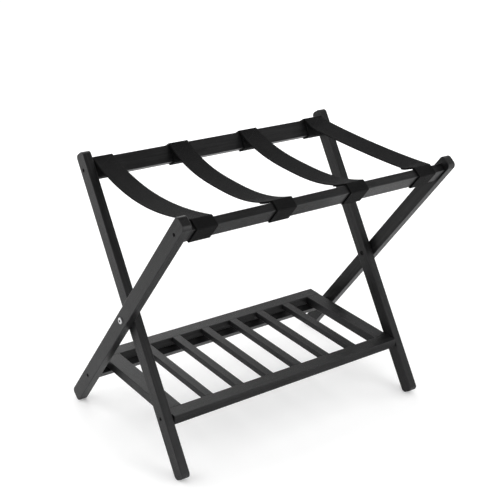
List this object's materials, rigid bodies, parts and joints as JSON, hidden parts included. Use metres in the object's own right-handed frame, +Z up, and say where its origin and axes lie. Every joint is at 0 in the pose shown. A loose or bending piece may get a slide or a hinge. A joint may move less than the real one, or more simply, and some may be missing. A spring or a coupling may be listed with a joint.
{
  "type": "folding luggage rack",
  "caption": "Folding wooden luggage rack with crossed legs, black webbing straps and a fold-up slatted shoe shelf.",
  "frame": {"origin": "on the floor, under the middle of the open rack", "axes": "+X along the top rails, +Y from front to back, +Z up"},
  "size_m": [0.6298, 0.3832, 0.5204],
  "materials": {
    "black_wood": "satin black paint",
    "bare_wood": "bare",
    "webbing": "woven nylon webbing",
    "plated_steel": "zinc plated",
    "black_steel": "black oxide",
    "washer": "matte nylon"
  },
  "bodies": {
    "inner_frame": {"inner_leg_left": "black_wood", "inner_leg_right": "black_wood", "back_top_rail": "black_wood", "back_rail_screws": "black_steel", "back_rail_dowels": "bare_wood", "strap_1": "webbing", "strap_2": "webbing", "strap_3": "webbing", "strap_4": "webbing"},
    "outer_frame": {"outer_leg_left": "black_wood", "outer_leg_right": "black_wood", "front_top_rail": "black_wood", "rear_crossbar": "black_wood", "front_rail_screws": "black_steel", "front_rail_dowels": "bare_wood", "crossbar_screws": "black_steel", "pivot_bolt_left": "plated_steel", "pivot_bolt_right": "plated_steel", "pivot_nut_left": "plated_steel", "pivot_nut_right": "plated_steel", "pivot_washer_left": "washer", "pivot_washer_right": "washer"},
    "shelf": {"shelf_front_rail": "black_wood", "shelf_back_rail": "black_wood", "shelf_end_left": "black_wood", "shelf_end_right": "black_wood", "shelf_slat_1": "black_wood", "shelf_slat_2": "black_wood", "shelf_slat_3": "black_wood", "shelf_slat_4": "black_wood", "shelf_slat_5": "black_wood", "shelf_slat_6": "black_wood", "slat_dowels": "bare_wood", "shelf_corner_dowels": "bare_wood", "shelf_hinge_screw_left": "black_steel", "shelf_hinge_screw_right": "black_steel", "shelf_hinge_washer_left": "washer", "shelf_hinge_washer_right": "washer"}
  },
  "joints": [
    {"name": "fold", "type": "hinge", "parent": "inner_frame", "child": "outer_frame", "pos_m": [0, 0, 0.25468], "axis": [-1, 0, 0], "range_deg": [0, 63.5], "deforming": ["strap_1", "strap_2", "strap_3", "strap_4"]},
    {"name": "shelf_fold", "type": "hinge", "parent": "inner_frame", "child": "shelf", "pos_m": [0, -0.10988, 0.09833], "axis": [1, 0, 0], "range_deg": [0, 54.9]}
  ]
}
